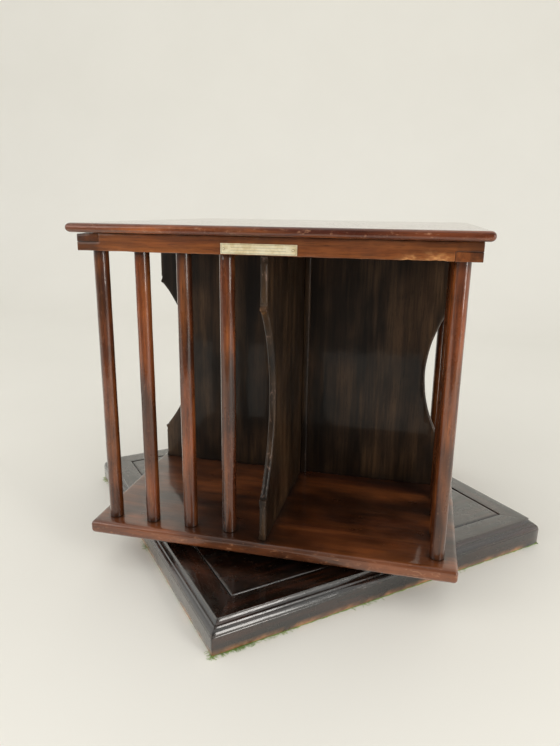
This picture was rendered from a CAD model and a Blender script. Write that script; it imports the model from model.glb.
"""The looks of a mahogany table-top revolving bookcase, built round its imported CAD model.

Metres, +Z up, in the frame of the CAD. The case's front faces -Y. Each side of the case repeats the
front one a quarter turn on, and so does each side of the base, so a piece is drawn once, in the
space of the front side, and turned into place.
"""

import math
import random

import bmesh
import bpy
from mathutils import Matrix, Vector, noise


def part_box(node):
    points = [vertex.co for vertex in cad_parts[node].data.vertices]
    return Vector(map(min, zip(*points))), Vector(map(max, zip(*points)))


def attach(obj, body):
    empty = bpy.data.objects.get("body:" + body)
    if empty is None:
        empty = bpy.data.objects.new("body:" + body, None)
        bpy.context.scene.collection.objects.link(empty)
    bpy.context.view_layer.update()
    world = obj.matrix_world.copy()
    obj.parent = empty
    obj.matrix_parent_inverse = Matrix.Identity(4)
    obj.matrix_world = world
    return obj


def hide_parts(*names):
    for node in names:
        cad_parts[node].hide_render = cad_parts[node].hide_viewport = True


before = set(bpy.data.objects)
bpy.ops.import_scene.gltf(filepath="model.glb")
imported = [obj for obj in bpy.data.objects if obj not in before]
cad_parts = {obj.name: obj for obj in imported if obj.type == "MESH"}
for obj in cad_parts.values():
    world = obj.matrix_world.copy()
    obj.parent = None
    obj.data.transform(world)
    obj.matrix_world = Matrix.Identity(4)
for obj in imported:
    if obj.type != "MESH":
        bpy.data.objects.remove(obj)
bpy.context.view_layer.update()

MM = 0.001
SIDES = ("front", "right", "back", "left")
BASE_ANGLE = math.radians(41.6)
UP = Vector((0, 0, 1))


# ---------------------------------------------------------------------------------------------
# Sizes, read from the CAD
# ---------------------------------------------------------------------------------------------

def half_side(node):
    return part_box(node)[1][0]


def heights(node):
    low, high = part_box(node)
    return low[2], high[2]


def unturned_half(node):
    """Half the side of a square of the base, from its turned box."""
    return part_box(node)[1][0] / (math.cos(BASE_ANGLE) + math.sin(BASE_ANGLE))


BOARD_HALF = half_side("bottom_board")
BOARD_Z = heights("bottom_board")
TOP_HALF = half_side("top_board")
TOP_Z = heights("top_board")
RAIL_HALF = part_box("front_top_rail")[1][0]
RAIL_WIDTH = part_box("front_top_rail")[1][1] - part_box("front_top_rail")[0][1]
RAIL_Z = heights("front_top_rail")
DIVIDER_REACH = -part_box("front_divider")[0][1]
DIVIDER_X = (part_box("front_divider")[0][0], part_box("front_divider")[1][0])
POST_HALF = half_side("centre_post")
DOWEL_RADIUS = (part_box("dowel_01")[1][1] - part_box("dowel_01")[0][1]) / 2
BAIZE_Z = heights("baize_pad")
BASE_Z = (BAIZE_Z[1], heights("base_panel")[1])
BAIZE_HALF = unturned_half("baize_pad")
PLATE_LOW, PLATE_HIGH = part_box("maker_plate")
BOARD_CORNER = 2.5 * MM
BOARD_ROUNDING = 4.2 * MM
TOP_ROUNDING = 3.7 * MM
CUTOUT_CHORD, CUTOUT_DEPTH, CUTOUT_MIDDLE = 171.0 * MM, 32.0 * MM, 173.0 * MM
CUTOUT_RADIUS = ((CUTOUT_CHORD / 2) ** 2 + CUTOUT_DEPTH**2) / (2 * CUTOUT_DEPTH)
CUTOUT = (CUTOUT_CHORD, CUTOUT_DEPTH, CUTOUT_MIDDLE, CUTOUT_RADIUS)
BASE_HALF = BAIZE_HALF - 0.4 * MM
FACE_TOP = 17.2 * MM
OVOLO_RADIUS = 4.8 * MM
COVE_RADIUS = 4.2 * MM
FLAT_HALF = 177.4 * MM
JOINT_HALF = 155.5 * MM
JOINT_BEVEL = 1.1 * MM
PANEL_HALF = JOINT_HALF - 0.3 * MM


# ---------------------------------------------------------------------------------------------
# Shader nodes
# ---------------------------------------------------------------------------------------------

class Nodes:
    """Writes a material's node tree, one call for each node."""

    def __init__(self, name):
        self.material = bpy.data.materials.new(name)
        self.material.use_nodes = True
        self.tree = self.material.node_tree
        self.shader = self.tree.nodes["Principled BSDF"]

    def link(self, value, socket):
        if isinstance(value, bpy.types.NodeSocket):
            self.tree.links.new(value, socket)
        elif isinstance(value, (tuple, list)) and len(value) == 3 and len(socket.default_value) == 4:
            socket.default_value = (*value, 1.0)
        else:
            socket.default_value = value

    def set(self, **inputs):
        for name, value in inputs.items():
            self.link(value, self.shader.inputs[name.replace("_", " ")])

    def attribute(self, name, output="Fac"):
        node = self.tree.nodes.new("ShaderNodeAttribute")
        node.attribute_name = name
        return node.outputs[output]

    def stretch(self, vector, scale, shift=(0, 0, 0)):
        node = self.tree.nodes.new("ShaderNodeMapping")
        self.link(vector, node.inputs["Vector"])
        node.inputs["Scale"].default_value = scale
        node.inputs["Location"].default_value = shift
        return node.outputs["Vector"]

    def noise(self, vector, scale, shift=(0, 0, 0), detail=3.0, roughness=0.55, distortion=0.0):
        node = self.tree.nodes.new("ShaderNodeTexNoise")
        self.link(self.stretch(vector, scale, shift), node.inputs["Vector"])
        node.inputs["Scale"].default_value = 1.0
        node.inputs["Detail"].default_value = detail
        node.inputs["Roughness"].default_value = roughness
        node.inputs["Distortion"].default_value = distortion
        return node.outputs["Fac"]

    def voronoi(self, vector, scale, shift=(0, 0, 0)):
        node = self.tree.nodes.new("ShaderNodeTexVoronoi")
        self.link(self.stretch(vector, scale, shift), node.inputs["Vector"])
        node.inputs["Scale"].default_value = 1.0
        return node.outputs["Distance"]

    def ramp(self, value, low, high, out_low=0.0, out_high=1.0):
        """A smooth step: out_low below low, out_high above high."""
        node = self.tree.nodes.new("ShaderNodeMapRange")
        node.interpolation_type = "SMOOTHSTEP"
        self.link(value, node.inputs["Value"])
        node.inputs["From Min"].default_value = low
        node.inputs["From Max"].default_value = high
        node.inputs["To Min"].default_value = out_low
        node.inputs["To Max"].default_value = out_high
        return node.outputs["Result"]

    def math(self, operation, a, b=0.0):
        node = self.tree.nodes.new("ShaderNodeMath")
        node.operation = operation
        self.link(a, node.inputs[0])
        self.link(b, node.inputs[1])
        return node.outputs[0]

    def mix(self, share, a, b, blend="MIX"):
        node = self.tree.nodes.new("ShaderNodeMix")
        node.data_type = "RGBA"
        node.blend_type = blend
        self.link(share, node.inputs[0])
        self.link(a, node.inputs[6])
        self.link(b, node.inputs[7])
        return node.outputs[2]

    def bump(self, height, strength, distance, normal=None):
        node = self.tree.nodes.new("ShaderNodeBump")
        node.inputs["Strength"].default_value = strength
        node.inputs["Distance"].default_value = distance
        self.link(height, node.inputs["Height"])
        if normal is not None:
            self.link(normal, node.inputs["Normal"])
        return node.outputs["Normal"]


# ---------------------------------------------------------------------------------------------
# Materials
# ---------------------------------------------------------------------------------------------

def mahogany(name, dark, mid, light, worn, gloss=0.30, coat=0.8, wear=0.5, stripes=1.0, dust=0.15, shine=0.3,
             blotch=0.3):
    """French-polished mahogany. The grain attribute runs along the wood, and edge, grime and raw are
    painted on the mesh: how exposed a point is, how much dirt it holds, and where the wood is bare."""
    n = Nodes(name)
    grain = n.attribute("grain", "Vector")
    edge = n.attribute("edge")
    grime = n.attribute("grime")
    raw = n.attribute("raw")

    figure = n.noise(grain, (5.0, 46.0, 46.0), detail=3.0, distortion=0.6)
    streak = n.noise(grain, (14.0, 330.0, 330.0), (3, 7, 1), detail=3.0, roughness=0.65)
    ribbon = n.noise(grain, (9.0, 120.0, 120.0), (9, 2, 5), detail=2.0, distortion=0.3)
    colour = n.mix(n.ramp(figure, 0.32, 0.68), dark, mid)
    colour = n.mix(n.math("MULTIPLY", n.ramp(ribbon, 0.42, 0.66), 0.6 * stripes), colour, light)
    shade = n.ramp(streak, 0.30, 0.62, 1.0 - 0.45 * stripes, 1.12)
    colour = n.mix(1.0, colour, shade, "MULTIPLY")
    cloud = n.noise(grain, (11.0, 17.0, 17.0), (8, 3, 1), detail=2.0)
    colour = n.mix(1.0, colour, n.ramp(cloud, 0.34, 0.66, 1.0 - blotch, 1.0 + 0.4 * blotch), "MULTIPLY")

    pore = n.noise(grain, (85.0, 2100.0, 2100.0), (1, 5, 8), detail=1.0)
    pore = n.ramp(pore, 0.60, 0.70)
    colour = n.mix(n.math("MULTIPLY", pore, 0.55), colour, tuple(c * 0.25 for c in dark))

    patch = n.noise(grain, (16.0, 22.0, 22.0), (4, 4, 9), detail=4.0, roughness=0.6)
    colour = n.mix(n.ramp(patch, 0.50, 0.74, 0.0, 0.55), colour, tuple(c * 0.45 for c in dark))

    scuff = n.noise(grain, (150.0, 300.0, 300.0), (6, 1, 2), detail=5.0, roughness=0.7)
    rubbed = n.math("MULTIPLY", edge, n.ramp(scuff, 0.62 - 0.3 * wear, 0.82 - 0.3 * wear))
    colour = n.mix(rubbed, colour, worn)

    dirt = n.noise(grain, (60.0, 60.0, 60.0), (2, 8, 3), detail=4.0)
    dirty = n.math("MULTIPLY", grime, n.ramp(dirt, 0.15, 0.60))
    colour = n.mix(dirty, colour, (0.012, 0.007, 0.005))
    bare = n.noise(grain, (260.0, 700.0, 700.0), (5, 5, 5), detail=3.0)
    bare_colour = n.mix(n.ramp(bare, 0.35, 0.65), (0.62, 0.30, 0.10), (0.36, 0.13, 0.04))
    colour = n.mix(raw, colour, bare_colour)

    haze = n.noise(grain, (30.0, 55.0, 55.0), (7, 3, 6), detail=5.0, roughness=0.62)
    rough = n.ramp(haze, 0.30, 0.75, gloss - 0.06, gloss + dust)
    rough = n.math("ADD", rough, n.math("MULTIPLY", n.math("MAXIMUM", rubbed, raw), 0.25))

    wave = n.noise(grain, (26.0, 60.0, 60.0), (2, 2, 7), detail=2.0)
    dents = n.ramp(n.voronoi(grain, (75.0, 110.0, 110.0), (1, 1, 1)), 0.0, 0.13)
    height = n.math("ADD", n.math("MULTIPLY", wave, 0.9), n.math("MULTIPLY", pore, -0.10))
    height = n.math("ADD", height, n.math("MULTIPLY", streak, 0.06))
    height = n.math("ADD", height, n.math("MULTIPLY", dents, 0.10))
    normal = n.bump(height, 0.55, 0.35 * MM)
    n.set(Base_Color=colour, Roughness=rough, Normal=normal, Coat_Normal=normal)
    n.set(Coat_Weight=coat, Coat_Roughness=0.07, Coat_IOR=1.5, IOR=1.45, Specular_IOR_Level=shine)
    return n.material


def brass_material():
    """Thin aged brass sheet, hazy, with an engraved line along its border and two blank rules."""
    n = Nodes("aged_brass")
    place = n.attribute("grain", "Vector")
    tarnish = n.noise(place, (130.0, 130.0, 130.0), detail=5.0, roughness=0.65)
    brushed = n.noise(place, (60.0, 4000.0, 4000.0), detail=2.0)
    colour = n.mix(n.ramp(tarnish, 0.35, 0.70), (0.86, 0.78, 0.56), (0.66, 0.54, 0.31))
    cut = n.attribute("grime")
    colour = n.mix(cut, colour, (0.05, 0.035, 0.02))
    rough = n.ramp(tarnish, 0.3, 0.7, 0.30, 0.48)
    normal = n.bump(n.math("SUBTRACT", n.math("MULTIPLY", brushed, 0.2), cut), 0.4, 0.1 * MM)
    n.set(Base_Color=colour, Roughness=rough, Normal=normal, Metallic=0.3)
    return n.material


def steel_material():
    """Dull grey steel of the hidden turning gear."""
    n = Nodes("dull_steel")
    coordinates = n.tree.nodes.new("ShaderNodeTexCoord").outputs["Object"]
    stain = n.noise(coordinates, (160.0, 160.0, 160.0), detail=5.0)
    colour = n.mix(n.ramp(stain, 0.4, 0.7), (0.36, 0.36, 0.37), (0.17, 0.12, 0.09))
    rough = n.ramp(stain, 0.3, 0.7, 0.28, 0.55)
    n.set(Base_Color=colour, Roughness=rough, Metallic=1.0, Normal=n.bump(stain, 0.3, 0.05 * MM))
    return n.material


def baize_material(name, tone=1.0):
    """Green wool baize: a felted nap of crossing fibres."""
    n = Nodes(name)
    place = n.attribute("grain", "Vector")
    fibres = n.noise(place, (900.0, 900.0, 900.0), detail=4.0, roughness=0.7)
    patch = n.noise(place, (40.0, 40.0, 40.0), (3, 3, 3), detail=3.0)
    green = (0.16 * tone, 0.26 * tone, 0.04 * tone)
    colour = n.mix(n.ramp(patch, 0.35, 0.7), green, (0.28 * tone, 0.34 * tone, 0.08 * tone))
    colour = n.mix(n.ramp(fibres, 0.35, 0.65, 0.0, 0.6), colour, (0.05, 0.13, 0.02))
    n.set(Base_Color=colour, Roughness=0.95, Normal=n.bump(fibres, 0.9, 0.3 * MM))
    n.set(Sheen_Weight=0.4, Sheen_Roughness=0.5)
    return n.material


def stage_material(name, colour, rough=0.6):
    n = Nodes(name)
    coordinates = n.tree.nodes.new("ShaderNodeTexCoord").outputs["Object"]
    mottle = n.noise(coordinates, (3.0, 3.0, 3.0), detail=3.0)
    n.set(Base_Color=n.mix(n.ramp(mottle, 0.3, 0.7, 0.0, 0.06), colour, (0.6, 0.58, 0.52)), Roughness=rough)
    return n.material


FINISH = {
    "top_mahogany": mahogany("polished_top", (0.08, 0.015, 0.005), (0.22, 0.055, 0.015),
                             (0.30, 0.090, 0.024), (0.36, 0.17, 0.09), wear=0.22, coat=1.0, blotch=0.35),
    "case_mahogany": mahogany("polished_case", (0.050, 0.012, 0.004), (0.17, 0.048, 0.012),
                              (0.26, 0.085, 0.022), (0.34, 0.15, 0.07), wear=0.25, gloss=0.33, coat=1.0,
                              stripes=0.25, shine=0.5, blotch=0.75),
    "rail_mahogany": mahogany("polished_rail", (0.10, 0.026, 0.005), (0.22, 0.060, 0.012),
                              (0.30, 0.095, 0.020), (0.36, 0.17, 0.06), wear=0.25, gloss=0.36, coat=0.6,
                              stripes=0.6),
    "panel_mahogany": mahogany("stained_divider", (0.012, 0.006, 0.0025), (0.046, 0.023, 0.010),
                               (0.095, 0.051, 0.023), (0.20, 0.12, 0.09), wear=0.3, gloss=0.42, coat=0.3,
                               stripes=0.7, shine=0.25, blotch=0.6),
    "dowel_mahogany": mahogany("polished_dowel", (0.035, 0.009, 0.004), (0.20, 0.050, 0.013),
                               (0.30, 0.095, 0.022), (0.32, 0.14, 0.07), wear=0.25, gloss=0.28, coat=1.0,
                               stripes=0.8, blotch=0.65),
    "base_mahogany": mahogany("dark_base", (0.003, 0.002, 0.0012), (0.009, 0.004, 0.002),
                              (0.075, 0.018, 0.006), (0.16, 0.07, 0.04), wear=0.22, gloss=0.25, coat=1.0,
                              stripes=0.5, shine=0.9, blotch=0.5),
    "brass": brass_material(),
    "steel": steel_material(),
    "baize": baize_material("green_baize"),
    "baize_thread": baize_material("green_thread", 1.5),
}


# ---------------------------------------------------------------------------------------------
# Mesh tools
# ---------------------------------------------------------------------------------------------

class Wood:
    """A mesh under construction, with what its material needs painted on its points."""

    def __init__(self):
        self.mesh = bmesh.new()
        layers = self.mesh.verts.layers
        self.grain = layers.float_vector.new("grain")
        self.edge = layers.float.new("edge")
        self.grime = layers.float.new("grime")
        self.raw = layers.float.new("raw")

    def point(self, place, edge=0.0):
        vert = self.mesh.verts.new(place)
        vert[self.edge] = edge
        return vert

    def bridge(self, a, b, closed=True):
        """A strip of faces between two rows of points."""
        for i in range(len(a) if closed else len(a) - 1):
            j = (i + 1) % len(a)
            self.mesh.faces.new((a[i], a[j], b[j], b[i]))

    def slice(self, step, axes):
        """Cuts the faces into a grid, so that they can hold paint and unevenness."""
        for axis in axes:
            normal = Vector([1.0 if letter == axis else 0.0 for letter in "XYZ"])
            places = [vert.co.dot(normal) for vert in self.mesh.verts]
            low, high = min(places), max(places)
            count = max(1, round((high - low) / step))
            for i in range(1, count):
                everything = self.mesh.verts[:] + self.mesh.edges[:] + self.mesh.faces[:]
                place = normal * (low + (high - low) * i / count)
                bmesh.ops.bisect_plane(self.mesh, geom=everything, dist=1e-7, plane_co=place, plane_no=normal)

    def paint(self, layer, rule):
        for vert in self.mesh.verts:
            vert[layer] = max(0.0, min(1.0, rule(vert.co)))

    def set_grain(self, along, seed):
        """The grain runs along one axis, X, Y or Z of the mesh as it is now."""
        turn = {"X": Matrix.Identity(3), "Y": Matrix.Rotation(-math.pi / 2, 3, "Z")}
        turn["Z"] = Matrix.Rotation(math.pi / 2, 3, "Y")
        shift = Vector((seed * 1.37, seed * 0.731 % 5, seed * 2.113 % 7))
        for vert in self.mesh.verts:
            vert[self.grain] = turn[along] @ vert.co + shift

    def unevenness(self, size, amount, where=None, seed=0):
        """Moves points a little, as hand work and years of use have."""
        for vert in self.mesh.verts:
            share = 1.0 if where is None else vert[where]
            if share:
                at = vert.co / size + Vector((seed, seed * 2, seed * 3))
                vert.co += noise.noise_vector(at) * amount * share

    def finish(self, name, finish, body, replaces, turn=None, smooth_angle=40):
        bmesh.ops.recalc_face_normals(self.mesh, faces=self.mesh.faces)
        if turn is not None:
            self.mesh.transform(turn)
        mesh = bpy.data.meshes.new(name)
        self.mesh.to_mesh(mesh)
        self.mesh.free()
        mesh.materials.append(FINISH[finish])
        mesh.shade_smooth()
        mesh.set_sharp_from_angle(angle=math.radians(smooth_angle))
        piece = bpy.data.objects.new(name, mesh)
        bpy.context.collection.objects.link(piece)
        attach(piece, body)
        if replaces:
            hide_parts(replaces)
        return piece


def arc(centre, radius, start, end, steps):
    """Points along an arc, angles in degrees."""
    angles = [math.radians(start + (end - start) * i / steps) for i in range(steps + 1)]
    return [(centre[0] + radius * math.cos(a), centre[1] + radius * math.sin(a)) for a in angles]


def spaced(a, b, step):
    """Points from a to b, b left out, about step apart."""
    count = max(1, round(math.dist(a, b) / step))
    return [tuple(p + (q - p) * i / count for p, q in zip(a, b)) for i in range(count)]


def dense(outline, step):
    """A closed outline with points added along its straight runs."""
    points = []
    for a, b in zip(outline, outline[1:] + outline[:1]):
        points += spaced(a, b, step)
    return points


def eased(outline, amount, steps=3):
    """A closed outline with each of its corners rounded a little."""
    points = []
    for i, corner in enumerate(outline):
        before, after = Vector(outline[i - 1]), Vector(outline[(i + 1) % len(outline)])
        corner = Vector(corner)
        if (corner - before).angle(after - corner) < math.radians(25):
            points.append(tuple(corner))
            continue
        start = corner + (before - corner).normalized() * min(amount, (before - corner).length / 2.2)
        end = corner + (after - corner).normalized() * min(amount, (after - corner).length / 2.2)
        for j in range(steps + 1):
            t = j / steps
            points.append(tuple(start.lerp(corner, t).lerp(corner.lerp(end, t), t)))
    return points


def rounded_square(half, corner, step, arc_steps=6):
    """A square outline with round corners, and with the same number of points at every size."""
    points = []
    run = max(1, round(2 * BOARD_HALF / step))
    for side in range(4):
        turn = Matrix.Rotation(side * math.pi / 2, 2)
        reach = half - corner
        start, end = Vector((half, -reach)), Vector((half, reach))
        points += [turn @ start.lerp(end, i / run) for i in range(run)]
        for x, y in arc((reach, reach), corner, 0, 90, arc_steps)[:-1]:
            points.append(turn @ Vector((x, y)))
    return points


def quarter_turn(side, extra=0.0):
    return Matrix.Rotation(side * math.pi / 2 + extra, 4, "Z")


def near(distance, reach):
    """1 at distance 0, fading to 0 at reach."""
    return max(0.0, 1.0 - distance / reach) ** 2


def dowel_centres():
    return [
        (i, Vector(((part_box(f"dowel_{i:02d}")[0][0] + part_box(f"dowel_{i:02d}")[1][0]) / 2,
                    (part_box(f"dowel_{i:02d}")[0][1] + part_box(f"dowel_{i:02d}")[1][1]) / 2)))
        for i in range(1, 17)
    ]


# ---------------------------------------------------------------------------------------------
# Boards
# ---------------------------------------------------------------------------------------------

def board(half, z_range, rounding, step=5 * MM):
    """A square board with a rounded edge. Its faces are rings, so that they can hold paint."""
    wood = Wood()
    low, high = z_range
    shares = (0.97, 0.85, 0.7, 0.55, 0.42, 0.32, 0.24, 0.18, 0.14, 0.11, 0.085, 0.065, 0.045)
    edge = arc((rounding, low + rounding), rounding, 270, 180, 8)
    edge += arc((rounding, high - rounding), rounding, 180, 90, 8)
    rings = [(half * share, low) for share in shares] + edge
    rings += [(half * share, high) for share in shares[::-1]]
    rows = []
    for inset, z in rings:
        corner = max(BOARD_CORNER - inset * 0.3, 0.4 * MM)
        outline = rounded_square(half - inset, corner, step)
        rows.append([wood.point((x, y, z), near(inset, rounding)) for x, y in outline])
    for a, b in zip(rows, rows[1:]):
        wood.bridge(a, b)
    wood.mesh.faces.new(rows[0][::-1])
    wood.mesh.faces.new(rows[-1])
    return wood


def make_top_board():
    wood = board(TOP_HALF, TOP_Z, TOP_ROUNDING)
    wood.unevenness(30 * MM, 0.25 * MM, wood.edge, 1)
    wood.set_grain("X", 1)
    wood.finish("top_board_polished", "top_mahogany", "case", "top_board")


def make_bottom_board():
    wood = board(BOARD_HALF, BOARD_Z, BOARD_ROUNDING)
    wood.unevenness(25 * MM, 0.35 * MM, wood.edge, 2)
    centres = [centre for _, centre in dowel_centres()]

    def dirt(co):
        if co.z < BOARD_Z[1] - 1 * MM:
            return 0.0
        at_dowel = max(near((co.xy - c).length - DOWEL_RADIUS, 7 * MM) for c in centres)
        at_divider = near(min(abs(co.x), abs(co.y)) - 3 * MM, 14 * MM)
        return 0.8 * max(at_dowel, at_divider)

    wood.paint(wood.grime, dirt)
    wood.set_grain("X", 2)
    wood.finish("bottom_board_polished", "case_mahogany", "case", "bottom_board")


# ---------------------------------------------------------------------------------------------
# Sawn pieces: an outline, given a thickness, with its arrises rounded
# ---------------------------------------------------------------------------------------------

def sawn(outline, low, high, step, round_off, steps=2, soft=None):
    """A solid between two copies of an outline in X and Z, from y = low to high. soft(a, b) says
    by how much the arris between two points is rounded."""
    wood = Wood()
    points = dense(outline, step)
    front = [wood.point((x, low, z)) for x, z in points]
    back = [wood.point((x, high, z)) for x, z in points]
    wood.mesh.faces.new(front)
    wood.mesh.faces.new(back[::-1])
    wood.bridge(front, back)
    bmesh.ops.recalc_face_normals(wood.mesh, faces=wood.mesh.faces)
    groups = {}
    for edge in wood.mesh.edges:
        if edge.calc_face_angle(0.0) > math.radians(25):
            amount = round_off if soft is None else soft(edge.verts[0].co, edge.verts[1].co)
            groups.setdefault(amount, []).append(edge)
    for amount in sorted(groups):
        if amount > 0:
            edges = [edge for edge in groups[amount] if edge.is_valid]
            bmesh.ops.bevel(wood.mesh, geom=edges, offset=amount, segments=steps, affect="EDGES", profile=0.5)
    return wood


def rail_outline():
    """A top rail seen from outside: its left end is halved from above, its right end from below."""
    low, high = RAIL_Z
    middle = (low + high) / 2
    gap = 0.05 * MM
    inside = RAIL_HALF - RAIL_WIDTH - 2 * gap
    return [(-RAIL_HALF, low), (inside, low), (inside, middle + gap), (RAIL_HALF, middle + gap),
            (RAIL_HALF, high), (-inside, high), (-inside, middle - gap), (-RAIL_HALF, middle - gap)]


def make_rails():
    for side, name in enumerate(SIDES):
        wood = sawn(rail_outline(), -RAIL_HALF, -RAIL_HALF + RAIL_WIDTH, 3 * MM, 0.5 * MM)
        wood.slice(2.5 * MM, "XZ")
        wood.paint(wood.edge, lambda co: near(co.z - RAIL_Z[0], 3.5 * MM) + near(RAIL_Z[1] - co.z, 2 * MM))
        wood.paint(wood.grime, rail_grime)
        wood.unevenness(9 * MM, 0.3 * MM, wood.edge, 3 + side)
        if side == 0:
            chip(wood, Vector((0.133, -RAIL_HALF, RAIL_Z[0])), 11 * MM, 1.5 * MM)
            chip(wood, Vector((0.112, -RAIL_HALF, RAIL_Z[0])), 7 * MM, 0.8 * MM)
        if side == 3:
            drop_corner(wood)
        wood.set_grain("X", 3 + side)
        wood.finish(f"{name}_rail_worn", "rail_mahogany", "case", f"{name}_top_rail", quarter_turn(side))


def drop_corner(wood):
    """The left rail's top falls away from the top board towards the front left corner."""
    middle = sum(RAIL_Z) / 2
    for vert in wood.mesh.verts:
        share = near(RAIL_HALF - vert.co.x, 40 * MM) * near(vert.co.y + RAIL_HALF, RAIL_WIDTH)
        rise = max(0.0, vert.co.z - middle) / (RAIL_Z[1] - middle)
        vert.co.z -= 1.2 * MM * share * rise


def rail_grime(co):
    """Darker end grain at the halved corners, and dirt under the top board."""
    at_end = abs(co.x) > RAIL_HALF - RAIL_WIDTH
    at_lap = near(abs(co.z - sum(RAIL_Z) / 2), 1.5 * MM) if at_end else 0.0
    return max(0.35 if at_end else 0.0, 0.8 * near(RAIL_Z[1] - co.z, 2.5 * MM), at_lap)


def chip(wood, centre, reach, depth):
    """Knocks a chip out of an arris: points near centre move inwards and show bare wood."""
    for vert in wood.mesh.verts:
        away = vert.co - centre
        away.x *= 0.55
        share = near(away.length, reach)
        if share:
            ragged = 0.6 + 0.8 * noise.noise(vert.co / (2.2 * MM))
            vert.co += Vector((0, 0.6, 1.0)).normalized() * depth * share * ragged
            vert[wood.raw] = min(1.0, vert[wood.raw] + 1.6 * share * max(0.2, ragged))


def divider_outline():
    """A divider seen from its face: x is the distance from the axis, y the height."""
    gap = 0.3 * MM
    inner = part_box("front_divider")[1][1] * -1
    low, high = heights("front_divider")
    under_rail = RAIL_Z[0] - gap
    rail_inside = RAIL_HALF - RAIL_WIDTH - gap
    chord, depth, middle, radius = CUTOUT
    spread = math.degrees(math.asin(chord / 2 / radius))
    free_edge = arc((DIVIDER_REACH - depth + radius, middle), radius, 180 + spread, 180 - spread, 48)
    return [(inner, low), (DIVIDER_REACH, low), *free_edge, (DIVIDER_REACH, under_rail),
            (rail_inside, under_rail), (rail_inside, high), (inner, high)]


def make_dividers():
    upright = Matrix.Rotation(-math.pi / 2, 4, "Z")
    for side, name in enumerate(SIDES):
        wood = sawn(divider_outline(), DIVIDER_X[0], DIVIDER_X[1], 6 * MM, 0, steps=4, soft=divider_rounding)
        wood.slice(8 * MM, "XZ")
        wood.paint(wood.edge, lambda co: near(from_free_edge(co), 4 * MM) if inside_case(co) else 0.0)
        wood.paint(wood.grime, divider_grime)
        wood.unevenness(14 * MM, 0.25 * MM, wood.edge, 11 + side)
        if side == 0:
            chip(wood, Vector((DIVIDER_REACH - 1 * MM, DIVIDER_X[0] + 2 * MM, 0.2575)), 4 * MM, 0.6 * MM)
        wood.set_grain("Z", 11 + side)
        turn = quarter_turn(side) @ upright
        wood.finish(f"{name}_divider_worn", "panel_mahogany", "case", f"{name}_divider", turn)


def inside_case(co):
    return BOARD_Z[1] + 0.5 * MM < co.z < RAIL_Z[0] - 0.5 * MM


def divider_rounding(a, b):
    """A divider is well rounded where hands meet it, along its free edge."""
    along_outline = abs(a.y - b.y) < 1 * MM and abs(a.z - b.z) > 0.3 * MM
    at_free_edge = max(from_free_edge(a), from_free_edge(b)) < 1 * MM
    return 2.4 * MM if along_outline and at_free_edge and inside_case((a + b) / 2) else 0.3 * MM


def from_free_edge(co):
    """Distance to a divider's free edge, cut-out included."""
    chord, depth, middle, radius = CUTOUT
    to_arc = abs(math.hypot(co.x - (DIVIDER_REACH - depth + radius), co.z - middle) - radius)
    to_end = DIVIDER_REACH - co.x
    if abs(co.z - middle) < chord / 2:
        return to_arc
    return to_end


def divider_grime(co):
    at_foot = near(co.z - BOARD_Z[1], 9 * MM)
    at_post = near(co.x - POST_HALF, 10 * MM)
    under_top = near(RAIL_Z[1] - co.z, 20 * MM)
    return 0.8 * max(at_foot, at_post, under_top)


def post_outline():
    """A square with round corners, and a groove in each side that takes a divider."""
    offset = (DIVIDER_X[0] + DIVIDER_X[1]) / 2
    half_groove = (DIVIDER_X[1] - DIVIDER_X[0]) / 2 + 0.3 * MM
    corner, depth = 1.8 * MM, 3 * MM
    outline = []
    for side in range(4):
        turn = Matrix.Rotation(side * math.pi / 2, 2)
        left, right = offset - half_groove, offset + half_groove
        points = arc((corner - POST_HALF, corner - POST_HALF), corner, 180, 270, 5)
        points += [(left, -POST_HALF), (left, depth - POST_HALF)]
        points += [(right, depth - POST_HALF), (right, -POST_HALF)]
        outline += [tuple(turn @ Vector(point)) for point in points]
    return outline


def make_post():
    wood = Wood()
    low, high = heights("centre_post")
    count = 32
    rows = []
    for i in range(count + 1):
        z = low + (high - low) * i / count
        rows.append([wood.point((x, y, z)) for x, y in eased(post_outline(), 0.4 * MM, 2)])
    for a, b in zip(rows, rows[1:]):
        wood.bridge(a, b)
    wood.mesh.faces.new(rows[0][::-1])
    wood.mesh.faces.new(rows[-1])

    def at_corner(co):
        return 0.8 * near(math.hypot(POST_HALF - abs(co.x), POST_HALF - abs(co.y)), 3 * MM)

    wood.paint(wood.edge, at_corner)
    wood.paint(wood.grime, lambda co: 0.8 * near(co.z - low, 10 * MM))
    wood.set_grain("Z", 17)
    wood.finish("centre_post_worn", "panel_mahogany", "case", "centre_post")


# ---------------------------------------------------------------------------------------------
# Dowels
# ---------------------------------------------------------------------------------------------

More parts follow.
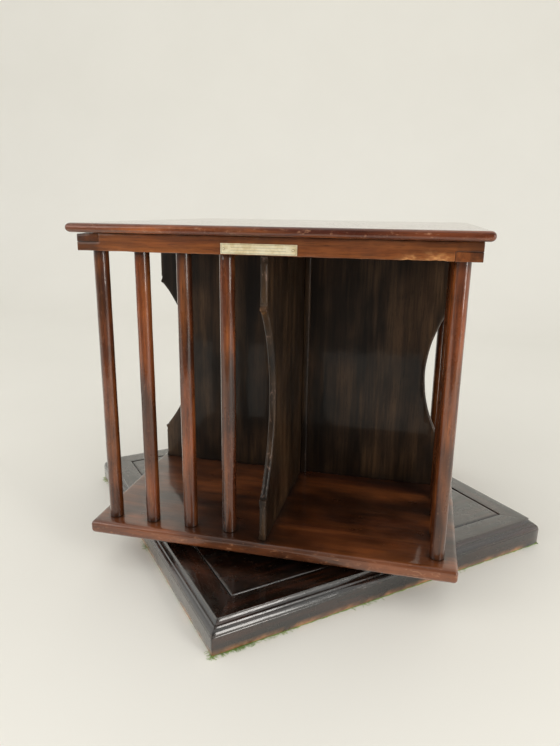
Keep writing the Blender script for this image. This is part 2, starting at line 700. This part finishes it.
def make_dowels():
    around = 28
    foot, head = BOARD_Z[1] + 0.3 * MM, RAIL_Z[0] - 0.3 * MM
    for number, centre in dowel_centres():
        low, high = heights(f"dowel_{number:02d}")
        tenon = DOWEL_RADIUS - 2 * MM
        profile = [(tenon, low), (tenon, foot), (DOWEL_RADIUS - 0.4 * MM, foot)]
        count = 56
        shaft = head - foot - 0.8 * MM
        profile += [(DOWEL_RADIUS, foot + 0.4 * MM + shaft * i / count) for i in range(count + 1)]
        profile += [(DOWEL_RADIUS - 0.4 * MM, head), (tenon, head), (tenon, high)]
        wood = Wood()
        rows = []
        for radius, z in profile:
            turns = [math.tau * i / around for i in range(around)]
            rows.append([wood.point((radius * math.cos(t), radius * math.sin(t), z)) for t in turns])
        for a, b in zip(rows, rows[1:]):
            wood.bridge(a, b)
        wood.mesh.faces.new(rows[0][::-1])
        wood.mesh.faces.new(rows[-1])
        for vert in wood.mesh.verts:
            at_foot, at_head = near(vert.co.z - foot, 16 * MM), near(head - vert.co.z, 12 * MM)
            vert[wood.grime] = min(1.0, at_foot + at_head)
            vert[wood.edge] = 0.25 + 0.6 * near(vert.co.z - foot, 22 * MM)
            if foot < vert.co.z < head:
                wave = noise.noise(Vector((vert.co.x, vert.co.y, vert.co.z)) / (22 * MM) + UP * number * 7)
                vert.co.xy *= 1 + 0.022 * wave
        wood.set_grain("Z", 20 + number)
        place = Matrix.Translation(centre.to_3d()) @ Matrix.Rotation(number * 1.7, 4, "Z")
        wood.finish(f"dowel_{number:02d}_turned", "dowel_mahogany", "case", f"dowel_{number:02d}", place)


# ---------------------------------------------------------------------------------------------
# Base
# ---------------------------------------------------------------------------------------------

def base_profile():
    """The base's moulded frame in section: x is the distance from the axis, y the height. Up from
    its upright face it has a small quirk, an ovolo and a cove."""
    foot, top = BASE_Z
    quirk = 0.3 * MM
    ovolo = arc((BASE_HALF - quirk - OVOLO_RADIUS, FACE_TOP + quirk), OVOLO_RADIUS, 0, 70, 9)
    cove = arc((FLAT_HALF + COVE_RADIUS, top), COVE_RADIUS, 265, 180, 9)
    outer = [(BASE_HALF, foot), (BASE_HALF, FACE_TOP)]
    inner = [(JOINT_HALF + JOINT_BEVEL, top), (JOINT_HALF, top - JOINT_BEVEL), (JOINT_HALF, foot)]
    return outer + ovolo + cove + inner


CORNER_WEAR = (0.4, 1.6, 1.0, 1.2)  # how far each corner of the base is rubbed round


def make_base_rails():
    foot, top = BASE_Z
    profile = dense(eased(base_profile(), 0.5 * MM, 3), 5 * MM)
    count = 80
    along = [math.sin(math.pi / 2 * (2 * i / count - 1)) for i in range(count + 1)]
    for side in range(4):
        wood = Wood()
        rows = []
        for share in along:
            row = []
            for reach, z in profile:
                from_mitre = (1 - abs(share)) * reach
                outside = 1.0 if reach > FLAT_HALF - 0.5 * MM else 0.0
                worn = CORNER_WEAR[side if share < 0 else (side + 1) % 4]
                corner = near(from_mitre, 8 * MM * worn) * outside
                depth = reach - 0.9 * MM * worn * corner
                exposure = max(corner, 0.8 * near(z - foot, 3 * MM) * outside)
                exposure = max(exposure, 0.5 * near(abs(z - FACE_TOP), 1.6 * MM) * outside)
                vert = wood.point((share * (depth - 0.15 * MM), -depth, z), exposure)
                lower = near(z - foot, 2.2 * MM) * outside
                patch = max(0.0, noise.noise(vert.co / (14 * MM) + UP * side) + 0.45)
                vert[wood.raw] = min(1.0, 1.5 * lower * patch)
                vert[wood.grime] = 0.7 * near(abs(z - top + COVE_RADIUS), 1.5 * MM) * outside
                row.append(vert)
            rows.append(row)
        for a, b in zip(rows, rows[1:]):
            wood.bridge(a, b)
        wood.mesh.faces.new(rows[0][::-1])
        wood.mesh.faces.new(rows[-1])
        wood.unevenness(20 * MM, 0.15 * MM, wood.edge, 40 + side)
        wood.set_grain("X", 40 + side)
        turn = quarter_turn(side, BASE_ANGLE)
        name = f"base_rail_{side + 1}"
        wood.finish(f"{name}_polished", "base_mahogany", "base", name, turn, 50)


def make_base_panel():
    low, high = heights("base_panel")
    tongue_half = unturned_half("base_panel")
    bevel = JOINT_BEVEL
    tongue_foot, tongue_top = 15 * MM, 21 * MM
    levels = [(inset * MM, low) for inset in (150, 100, 50, 20, 5)] + [(0, low), (0, tongue_foot)]
    tongue_inset = PANEL_HALF - tongue_half
    levels += [(tongue_inset, tongue_foot), (tongue_inset, tongue_top), (0, tongue_top)]
    levels += [(0, high - bevel - 0.4 * MM), (0.25 * bevel, high - 0.8 * bevel)]
    levels += [(0.7 * bevel, high - 0.3 * bevel)]
    levels += [(bevel + inset * MM, high) for inset in (0.5, 2, 5, 9, 14, 20, 28, 38, 50, 65, 85, 110, 140)]
    wood = Wood()
    rows = []
    for inset, z in levels:
        outline = rounded_square(PANEL_HALF - inset, 0.3 * MM, 6 * MM, 3)
        rows.append([wood.point((x, y, z), near(abs(z - high + bevel / 2), 1.2 * MM)) for x, y in outline])
    for a, b in zip(rows, rows[1:]):
        wood.bridge(a, b)
    wood.mesh.faces.new(rows[0][::-1])
    wood.mesh.faces.new(rows[-1])
    wood.set_grain("X", 50)
    wood.finish("base_panel_polished", "base_mahogany", "base", "base_panel", quarter_turn(0, BASE_ANGLE))


# ---------------------------------------------------------------------------------------------
# Baize
# ---------------------------------------------------------------------------------------------

def make_baize():
    """A flat sheet glued under the base, with frayed edges and loose threads."""
    wood = Wood()
    per_side = 260
    thickness = BAIZE_Z[1] - BAIZE_Z[0]
    lower, upper = [], []
    for side in range(4):
        turn = Matrix.Rotation(side * math.pi / 2, 3, "Z")
        for i in range(per_side):
            along = Vector((BAIZE_HALF * (2 * i / per_side - 1), 0, side * 0.1))
            fray = noise.noise(along / (7 * MM)) * 0.9 * MM + noise.noise(along / (1.3 * MM)) * 0.6 * MM
            shrink = 0.4 * MM if i in (0, per_side - 1) else 0.0
            place = turn @ Vector((along.x, 1.4 * MM - BAIZE_HALF - fray + shrink, 0))
            lower.append(wood.point(place))
            lift = thickness * (0.9 + 0.1 * noise.noise(along / (4 * MM)))
            upper.append(wood.point(place * 0.9985 + UP * lift))
    wood.bridge(lower, upper)
    wood.mesh.faces.new(lower[::-1])
    wood.mesh.faces.new(upper)
    wood.set_grain("X", 60)
    turn = quarter_turn(0, BASE_ANGLE)
    sheet = wood.finish("baize_sheet", "baize", "base", "baize_pad", turn)
    fringe = make_threads(turn)


def make_threads(turn):
    """Loose threads that stick out from under the base, in tufts: (side, distance from its left
    end, length of edge, threads)."""
    rng = random.Random(7)
    wood = Wood()
    tufts = ((0, 0.020, 0.040, 110), (0, 0.062, 0.020, 20), (0, 0.150, 0.030, 12), (0, 0.250, 0.030, 8))
    tufts += ((3, 0.368, 0.008, 12), (3, 0.190, 0.012, 14), (3, 0.012, 0.020, 26), (1, 0.10, 0.05, 20))
    tufts += ((2, 0.05, 0.04, 30), (2, 0.30, 0.05, 20), (1, 0.30, 0.03, 20))
    for side, middle, spread, count in tufts:
        for _ in range(count):
            along = min(max(rng.gauss(middle, spread / 3), 0.001), 2 * BAIZE_HALF) - BAIZE_HALF
            length = rng.uniform(1.5, 4.5) * MM
            heading = rng.uniform(-1.2, 1.2)
            bend = rng.uniform(-1.8, 1.8)
            path = []
            place = Vector((along, -BAIZE_HALF + 2 * MM, rng.uniform(0.3, 1.1) * MM))
            for step in range(6):
                path.append(Matrix.Rotation(side * math.pi / 2, 3, "Z") @ place)
                angle = heading + bend * step / 5
                place = place + Vector((math.sin(angle), -math.cos(angle), 0)) * (length + 1.5 * MM) / 5
                place.z = max(0.25 * MM, place.z - rng.uniform(-0.15, 0.25) * MM)
            tube(wood, path, rng.uniform(0.08, 0.16) * MM)
    wood.set_grain("X", 61)
    return wood.finish("baize_threads", "baize_thread", "base", None, turn)


def tube(wood, path, radius, sides=5):
    rows = []
    for i, place in enumerate(path):
        along = (path[min(i + 1, len(path) - 1)] - path[max(i - 1, 0)]).normalized()
        across = along.cross(UP).normalized()
        up = across.cross(along)
        turns = [math.tau * j / sides for j in range(sides)]
        rows.append([wood.point(place + (across * math.cos(t) + up * math.sin(t)) * radius) for t in turns])
    for a, b in zip(rows, rows[1:]):
        wood.bridge(a, b)
    wood.mesh.faces.new(rows[0][::-1])
    wood.mesh.faces.new(rows[-1])


# ---------------------------------------------------------------------------------------------
# Plate
# ---------------------------------------------------------------------------------------------

def make_plate():
    """A blank brass plate: an engraved border and two plain rules, and no lettering."""
    wood = Wood()
    width, height = PLATE_HIGH[0] - PLATE_LOW[0], PLATE_HIGH[2] - PLATE_LOW[2]
    depth = PLATE_HIGH[1] - PLATE_LOW[1]
    step = 0.25 * MM
    across, up = round(width / step), round(height / step)
    middle = ((PLATE_LOW[0] + PLATE_HIGH[0]) / 2, (PLATE_LOW[2] + PLATE_HIGH[2]) / 2)
    front = []
    for j in range(up + 1):
        row = []
        for i in range(across + 1):
            x, z = width * (i / across - 0.5), height * (j / up - 0.5)
            edge = min(width / 2 - abs(x), height / 2 - abs(z))
            cut = engraving(x, z, edge, width)
            rounding = 0.15 * MM * near(edge, 0.5 * MM)
            dent = 0.05 * MM * noise.noise(Vector((x, z, 3)) / (6 * MM))
            face = PLATE_LOW[1] + rounding + 0.06 * MM * cut + dent
            vert = wood.point((middle[0] + x, face, middle[1] + z))
            vert[wood.grime] = cut
            row.append(vert)
        front.append(row)
    for a, b in zip(front, front[1:]):
        wood.bridge(a, b, closed=False)
    rim = front[0] + [row[-1] for row in front[1:]] + front[-1][-2::-1] + [row[0] for row in front[-2:0:-1]]
    back = [wood.point((vert.co.x, PLATE_LOW[1] + depth, vert.co.z)) for vert in rim]
    wood.bridge(rim, back)
    wood.mesh.faces.new(back)
    wood.set_grain("X", 70)
    wood.finish("blank_plate", "brass", "case", "maker_plate", smooth_angle=60)
    for number in (1, 2):
        make_pin(number)


def engraving(x, z, edge, width):
    """How deeply the plate is cut at a point, 0 to 1."""
    line = 0.22 * MM
    border = near(abs(edge - 0.8 * MM), line)
    rules = 0.0
    if abs(x) < width * 0.36:
        rules = near(abs(abs(z) - 1.1 * MM), line)
    return min(1.0, 1.6 * max(border, rules))


def make_pin(number):
    low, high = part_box(f"plate_pin_{number}")
    centre = Vector(((low[0] + high[0]) / 2, 0, (low[2] + high[2]) / 2))
    radius = (high[0] - low[0]) / 2
    head = [(math.cos(t) * radius, low[1] + radius * 0.8 * (1 - math.sin(t)))
            for t in (0, 0.3, 0.6, 0.9, 1.2, 1.45)]
    wood = Wood()
    profile = [(0.5 * MM, high[1]), (0.5 * MM, head[0][1]), *head]
    rows = []
    for reach, y in profile:
        turns = [math.tau * i / 20 for i in range(20)]
        rows.append([wood.point(centre + Vector((math.cos(t) * reach, y, math.sin(t) * reach)))
                     for t in turns])
    for a, b in zip(rows, rows[1:]):
        wood.bridge(a, b)
    wood.mesh.faces.new(rows[0][::-1])
    wood.mesh.faces.new(rows[-1])

    def dirt(co):
        return 0.6 * near(co.y - head[0][1] + 0.3 * MM, 0.5 * MM) if co.y > head[2][1] else 0.0

    wood.paint(wood.grime, dirt)
    wood.set_grain("X", 71 + number)
    wood.finish(f"round_pin_{number}", "brass", "case", f"plate_pin_{number}")


def finish_turning_gear():
    """The hidden race, cage and pivot keep their CAD shapes."""
    for name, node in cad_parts.items():
        if name.startswith(("lower_race", "upper_race", "ball", "pivot")):
            brass = name in ("ball_cage", "pivot_bush")
            node.data.materials.clear()
            node.data.materials.append(FINISH["brass" if brass else "steel"])


# ---------------------------------------------------------------------------------------------
# Stage, light and camera
# ---------------------------------------------------------------------------------------------

ROOM_LIGHT = 0.90
ROOM_FRONT = 0.10
ROOM_BACK = 0.95


def make_stage():
    """A pale floor that curves up into a pale wall."""
    mesh = bpy.data.meshes.new("studio_floor")
    shape = bmesh.new()
    section = [(-4.0, 0.0), (1.1, 0.0)]
    bend = [math.radians(9 * i) for i in range(1, 11)]
    section += [(1.1 + 0.9 * math.sin(a), 0.9 - 0.9 * math.cos(a)) for a in bend]
    section += [(2.0, 4.0)]
    rows = [[shape.verts.new((x, y, z)) for x in (-5.0, 5.0)] for y, z in section]
    for a, b in zip(rows, rows[1:]):
        shape.faces.new((a[0], a[1], b[1], b[0]))
    shape.to_mesh(mesh)
    shape.free()
    mesh.shade_smooth()
    mesh.materials.append(stage_material("pale_studio", (0.84, 0.825, 0.775)))
    floor = bpy.data.objects.new("studio_floor", mesh)
    bpy.context.collection.objects.link(floor)
    make_flag()


def make_flag():
    """A dark cloth on the floor before the object, which only polished surfaces see."""
    mesh = bpy.data.meshes.new("dark_flag")
    mesh.from_pydata([(-5, -5, 0.01), (5, -5, 0.01), (5, -0.8, 0.01), (-5, -0.8, 0.01)], [], [(0, 1, 2, 3)])
    mesh.materials.append(stage_material("dark_cloth", (0.05, 0.05, 0.05), 0.9))
    flag = bpy.data.objects.new("dark_flag", mesh)
    flag.visible_camera = False
    flag.visible_diffuse = False
    flag.visible_shadow = False
    bpy.context.collection.objects.link(flag)


def area_light(name, place, target, size, strength, colour=(1.0, 0.97, 0.92)):
    data = bpy.data.lights.new(name, "AREA")
    data.shape = "RECTANGLE"
    data.size, data.size_y = size
    data.energy = strength
    data.color = colour
    light = bpy.data.objects.new(name, data)
    light.location = place
    light.rotation_euler = (Vector(target) - Vector(place)).to_track_quat("-Z", "Y").to_euler()
    bpy.context.collection.objects.link(light)
    return light


def make_world():
    """An even pale room. Polished surfaces see it brighter behind the object than in front."""
    world = bpy.data.worlds.new("soft_room")
    world.use_nodes = True
    tree = world.node_tree
    background = tree.nodes["Background"]
    background.inputs["Color"].default_value = (1.0, 0.99, 0.955, 1.0)
    direction = tree.nodes.new("ShaderNodeTexCoord").outputs["Generated"]
    split = tree.nodes.new("ShaderNodeSeparateXYZ")
    tree.links.new(direction, split.inputs[0])
    depth = tree.nodes.new("ShaderNodeMapRange")
    depth.interpolation_type = "SMOOTHSTEP"
    tree.links.new(split.outputs["Y"], depth.inputs["Value"])
    limits = {"From Min": -0.75, "From Max": 0.15, "To Min": ROOM_FRONT, "To Max": ROOM_BACK}
    for name, value in limits.items():
        depth.inputs[name].default_value = value
    choice = tree.nodes.new("ShaderNodeMix")
    choice.inputs["A"].default_value = ROOM_LIGHT
    tree.links.new(tree.nodes.new("ShaderNodeLightPath").outputs["Is Glossy Ray"], choice.inputs["Factor"])
    tree.links.new(depth.outputs["Result"], choice.inputs["B"])
    tree.links.new(choice.outputs["Result"], background.inputs["Strength"])
    bpy.context.scene.world = world


def make_lights():
    make_world()
    window_turn, window_distance, window_height = math.radians(54), 1.5, 0.55
    place = (window_distance * math.sin(window_turn), -window_distance * math.cos(window_turn),
             window_height)
    area_light("window", place, (0, 0, 0.25), (0.32, 1.0), 8.0)
    area_light("left_fill", (-1.3, -1.2, 0.9), (0, 0, 0.2), (1.2, 1.2), 9.0)


def make_camera():
    data = bpy.data.cameras.new("camera")
    data.sensor_width = 36.0
    data.lens = 29.33
    data.clip_start = 0.01
    camera = bpy.data.objects.new("camera", data)
    yaw, pitch, roll = 0.2313, 0.2630, 0.0134
    turn = Matrix.Rotation(yaw, 4, "Z") @ Matrix.Rotation(math.pi / 2 - pitch, 4, "X")
    turn = turn @ Matrix.Rotation(roll, 4, "Z")
    camera.matrix_world = Matrix.Translation((0.1250, -0.6392, 0.3385)) @ turn
    bpy.context.collection.objects.link(camera)
    bpy.context.scene.camera = camera
    bpy.context.scene.view_settings.view_transform = "Standard"


make_camera()
make_stage()
make_lights()
make_top_board()
make_bottom_board()
make_rails()
make_dividers()
make_post()
make_dowels()
make_base_rails()
make_base_panel()
make_baize()
make_plate()
finish_turning_gear()
